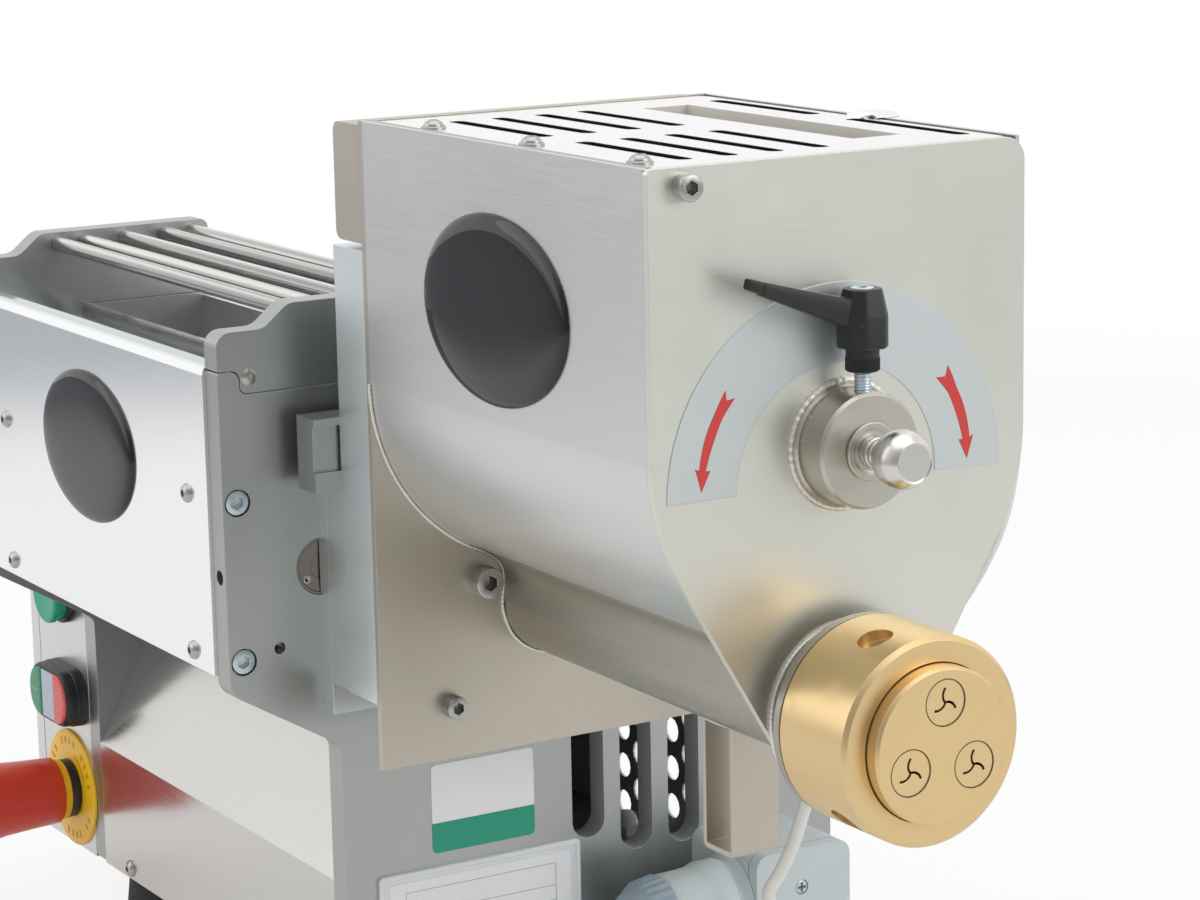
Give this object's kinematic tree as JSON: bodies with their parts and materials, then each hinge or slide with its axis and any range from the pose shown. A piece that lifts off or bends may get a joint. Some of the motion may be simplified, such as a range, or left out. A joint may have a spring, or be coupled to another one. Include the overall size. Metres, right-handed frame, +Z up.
{
  "type": "electric pasta maker",
  "caption": "Bench pasta machine: powered sheeting rollers with a guard, and a kneading tank whose auger drives dough through a bronze die.",
  "frame": {"origin": "middle of the footprint, on the surface that the feet stand on", "axes": "+X along the shafts towards the die, +Y towards the rear cover, +Z up"},
  "size_m": [0.6352, 0.294, 0.3928],
  "materials": {
    "side_plate": "satin bead-blasted",
    "bright_bar": "polished bar",
    "mirror_sheet": "mirror polished",
    "stainless_sheet": "satin sheet",
    "foot_rubber": "matt moulded rubber",
    "roller_steel": "ground and polished",
    "bronze": "turned bronze",
    "dark_steel": "turned, dark",
    "black_plastic": "moulded black",
    "gear_steel": "machined",
    "drive_paint": "satin paint on casting",
    "box_steel": "satin sheet",
    "green_plastic": "glossy",
    "start_green": "glossy",
    "stop_red": "glossy",
    "stop_yellow": "glossy",
    "estop_red": "satin",
    "column_aluminium": "brushed",
    "tank_steel": "satin stainless",
    "tank_sheet": "satin stainless",
    "turned_steel": "turned stainless",
    "zinc": "zinc plated",
    "brass": "fine turned brass",
    "lid_steel": "bright sheet",
    "fastener_steel": "stainless fastener",
    "white_plastic": "moulded white",
    "badge_black": "clear domed resin over black",
    "grey_plastic": "moulded light grey"
  },
  "bodies": {
    "stand": {"right_side_plate": "side_plate", "left_side_plate": "side_plate", "side_cheeks": "side_plate", "guard_bars": "bright_bar", "front_panel": "mirror_sheet", "rear_cover": "stainless_sheet", "chute": "mirror_sheet", "base_plate": "stainless_sheet", "feet": "foot_rubber", "tie_rods": "bright_bar", "scrapers": "stainless_sheet", "roller_bushes": "bronze", "gearbox": "drive_paint", "motor": "drive_paint", "control_box": "box_steel", "button_bezels": "black_plastic", "estop_base": "stop_yellow", "adapter_plate": "column_aluminium", "spacer_plate": "column_aluminium", "hook_block": "column_aluminium", "gear_case": "column_aluminium", "back_plate": "tank_steel", "interlock_box": "tank_steel", "tank_shell": "tank_sheet", "barrel": "tank_sheet", "front_plate": "tank_steel", "boss": "turned_steel", "boss_bush": "turned_steel", "lid_hinge": "fastener_steel", "lid_switch": "white_plastic", "badges": "badge_black", "bracket_tube": "stainless_sheet", "junction_box": "grey_plastic", "cable_plug": "grey_plastic", "switch_cable": "white_plastic", "socket_screws": "fastener_steel", "button_screws": "fastener_steel"},
    "rear_roller": {"rear_roller": "roller_steel"},
    "gap_shaft": {"eccentric_shaft": "dark_steel", "gap_knob": "black_plastic"},
    "sleeves": {"roller_sleeves": "bronze"},
    "front_roller": {"front_roller": "roller_steel"},
    "pinion": {"drive_pinion": "gear_steel"},
    "auger": {"auger": "turned_steel", "auger_drive": "gear_steel"},
    "idler": {"idler_gear": "gear_steel"},
    "paddle": {"paddle_shaft": "gear_steel", "mixing_paddle": "turned_steel"},
    "pull_pin": {"retaining_pin": "bright_bar"},
    "lever": {"clamp_lever": "black_plastic", "lever_stud": "zinc"},
    "die": {"die_ring_nut": "brass", "die_disc": "brass", "die_inserts": "brass"},
    "lid": {"lid": "lid_steel", "lid_fittings": "fastener_steel"},
    "green_button": {"green_button": "green_plastic"},
    "start_button": {"start_button": "start_green"},
    "stop_button": {"stop_button": "stop_red"},
    "estop": {"estop_head": "estop_red"}
  },
  "joints": [
    {"name": "rear_roller_spin", "type": "hinge", "parent": "stand", "child": "rear_roller", "pos_m": [-0.08865, -0.0204, 0.198], "axis": [1, 0, 0], "continuous": true},
    {"name": "gap_turn", "type": "hinge", "parent": "stand", "child": "gap_shaft", "pos_m": [-0.08865, -0.09487, 0.21054], "axis": [1, 0, 0], "range_deg": [0, 80]},
    {"name": "sleeve_turn", "type": "hinge", "parent": "gap_shaft", "child": "sleeves", "pos_m": [-0.08865, -0.09335, 0.21184], "axis": [1, 0, 0], "range_deg": [-80, 0]},
    {"name": "front_roller_spin", "type": "hinge", "parent": "sleeves", "child": "front_roller", "pos_m": [-0.08865, -0.09335, 0.21184], "axis": [1, 0, 0], "continuous": true},
    {"name": "pinion_spin", "type": "hinge", "parent": "stand", "child": "pinion", "pos_m": [-0.08865, 0.00305, 0.1477], "axis": [1, 0, 0], "continuous": true},
    {"name": "auger_spin", "type": "hinge", "parent": "stand", "child": "auger", "pos_m": [-0.08865, -0.0204, 0.198], "axis": [1, 0, 0], "continuous": true},
    {"name": "idler_spin", "type": "hinge", "parent": "stand", "child": "idler", "pos_m": [-0.08865, -0.0204, 0.23625], "axis": [1, 0, 0], "continuous": true},
    {"name": "paddle_spin", "type": "hinge", "parent": "stand", "child": "paddle", "pos_m": [-0.08865, -0.0204, 0.291], "axis": [1, 0, 0], "continuous": true},
    {"name": "pin_pull", "type": "slide", "parent": "stand", "child": "pull_pin", "axis": [1, 0, 0], "range_m": [0, 0.028]},
    {"name": "lever_turn", "type": "hinge", "parent": "stand", "child": "lever", "pos_m": [0.27255, -0.0204, 0.33], "axis": [0, 0, 1], "range_deg": [0, 165]},
    {"name": "die_off", "type": "slide", "parent": "stand", "child": "die", "axis": [1, 0, 0], "range_m": [0, 0.045]},
    {"name": "lid_hinge", "type": "hinge", "parent": "stand", "child": "lid", "pos_m": [0.16135, -0.0938, 0.3888], "axis": [1, 0, 0], "range_deg": [0, 95]},
    {"name": "green_press", "type": "slide", "parent": "stand", "child": "green_button", "axis": [0, 1, 0], "range_m": [0, 0.003], "stiffness_N_per_m": 300, "springref_m": -0.002},
    {"name": "start_press", "type": "slide", "parent": "stand", "child": "start_button", "axis": [0, 1, 0], "range_m": [0, 0.003], "stiffness_N_per_m": 300, "springref_m": -0.002},
    {"name": "stop_press", "type": "slide", "parent": "stand", "child": "stop_button", "axis": [0, 1, 0], "range_m": [0, 0.003], "stiffness_N_per_m": 300, "springref_m": -0.002},
    {"name": "estop_press", "type": "slide", "parent": "stand", "child": "estop", "axis": [0, 1, 0], "range_m": [0, 0.004]}
  ],
  "couplings": [
    {"joint": "front_roller_spin", "follows": "rear_roller_spin", "ratio": -1},
    {"joint": "pinion_spin", "follows": "rear_roller_spin", "ratio": -2},
    {"joint": "auger_spin", "follows": "rear_roller_spin", "ratio": 1},
    {"joint": "idler_spin", "follows": "rear_roller_spin", "ratio": -0.88889},
    {"joint": "paddle_spin", "follows": "rear_roller_spin", "ratio": 0.52174},
    {"joint": "sleeve_turn", "follows": "gap_turn", "ratio": -1}
  ]
}
